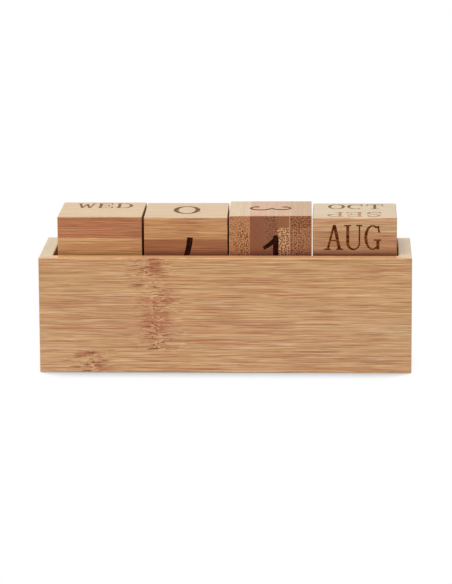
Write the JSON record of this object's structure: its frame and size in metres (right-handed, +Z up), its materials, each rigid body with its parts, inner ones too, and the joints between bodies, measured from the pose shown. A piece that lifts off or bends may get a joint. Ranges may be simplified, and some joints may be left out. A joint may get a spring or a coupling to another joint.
{
  "type": "desk calendar with drawer",
  "caption": "Bamboo block calendar: lettered cubes lift out of a recess along the top of a long case, with a shallow drawer under them.",
  "frame": {"origin": "centre of the case's footprint, on the surface that it stands on", "axes": "+X along the row of cubes, +Y towards the side that is read and the drawer opens to, +Z up"},
  "size_m": [0.178, 0.053, 0.0751],
  "materials": {
    "case_bamboo": "side-pressed bamboo board, planed and sanded, matt clear lacquer",
    "drawer_bamboo": "thin side-pressed bamboo board, sanded, matt clear lacquer",
    "cube_bamboo": "laminated bamboo stick, sawn and sanded on six faces, laser-burnt letters and numbers"
  },
  "bodies": {
    "case": {"back_panel": "case_bamboo", "left_end_panel": "case_bamboo", "right_end_panel": "case_bamboo", "cube_shelf": "case_bamboo", "base_panel": "case_bamboo", "front_rail": "case_bamboo"},
    "drawer": {"drawer_front": "drawer_bamboo", "drawer_left_side": "drawer_bamboo", "drawer_right_side": "drawer_bamboo", "drawer_back": "drawer_bamboo", "drawer_bottom": "drawer_bamboo"},
    "weekday": {"weekday_cube": "cube_bamboo"},
    "units": {"units_cube": "cube_bamboo"},
    "tens": {"tens_cube": "cube_bamboo"},
    "month": {"month_cube": "cube_bamboo"}
  },
  "joints": [
    {"name": "drawer_slide", "type": "slide", "parent": "case", "child": "drawer", "axis": [0, 1, 0], "range_m": [0, 0.036]},
    {"name": "weekday_lift", "type": "slide", "parent": "case", "child": "weekday", "axis": [0, 0, 1], "range_m": [0, 0.045]},
    {"name": "units_lift", "type": "slide", "parent": "case", "child": "units", "axis": [0, 0, 1], "range_m": [0, 0.045]},
    {"name": "tens_lift", "type": "slide", "parent": "case", "child": "tens", "axis": [0, 0, 1], "range_m": [0, 0.045]},
    {"name": "month_lift", "type": "slide", "parent": "case", "child": "month", "axis": [0, 0, 1], "range_m": [0, 0.045]}
  ]
}
